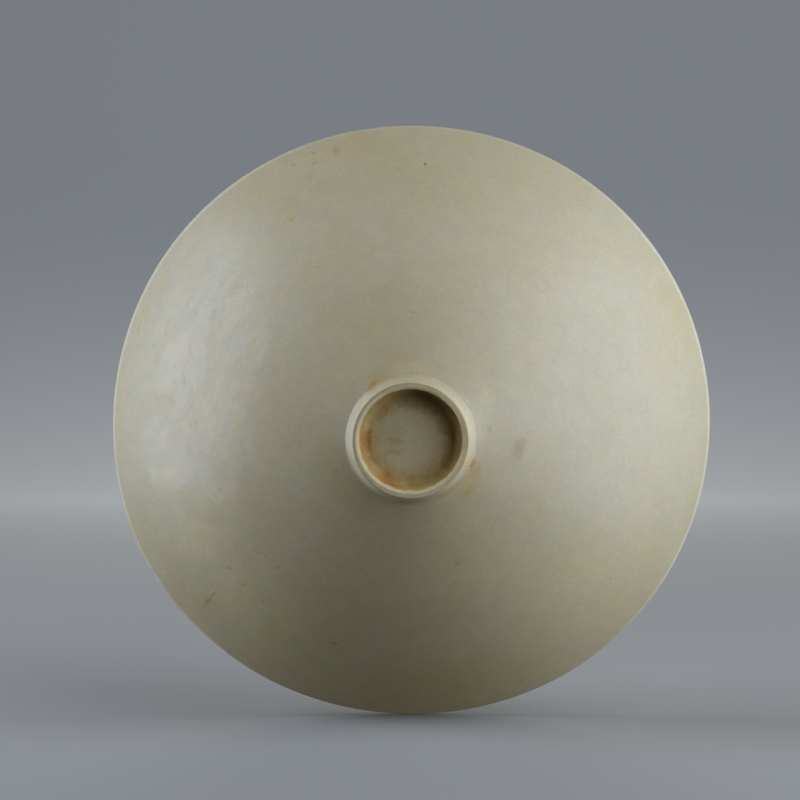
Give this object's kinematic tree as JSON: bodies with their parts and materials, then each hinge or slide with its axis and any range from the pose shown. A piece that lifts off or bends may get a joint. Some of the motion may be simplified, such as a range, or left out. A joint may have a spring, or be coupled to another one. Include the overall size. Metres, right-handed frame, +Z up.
{
  "type": "porcelain bowl",
  "caption": "Wide conical porcelain bowl with a slim rounded lip, gently curved walls and a small turned foot ring with a glazed recess.",
  "frame": {"origin": "centre of the foot ring's bare resting face", "axes": "+Z up along the bowl's axis, from the foot to the rim; X and Y are alike on this round form"},
  "size_m": [0.2, 0.2, 0.066],
  "materials": {
    "body_porcelain": "fired, unglazed porcelain, wholly under the glaze",
    "bare_foot": "bare turned resting edge, grey-buff with handling dirt",
    "outer_glaze": "satin ivory glaze, faintly mottled, with a few specks and rust marks",
    "inner_glaze": "satin ivory glaze, plain",
    "base_glaze": "thin greenish-grey glaze with rust-brown staining round its edge"
  },
  "bodies": {
    "root": {"thrown_body": "body_porcelain", "foot_ring": "bare_foot", "outer_glaze": "outer_glaze", "inner_glaze": "inner_glaze", "base_glaze": "base_glaze"}
  },
  "joints": []
}
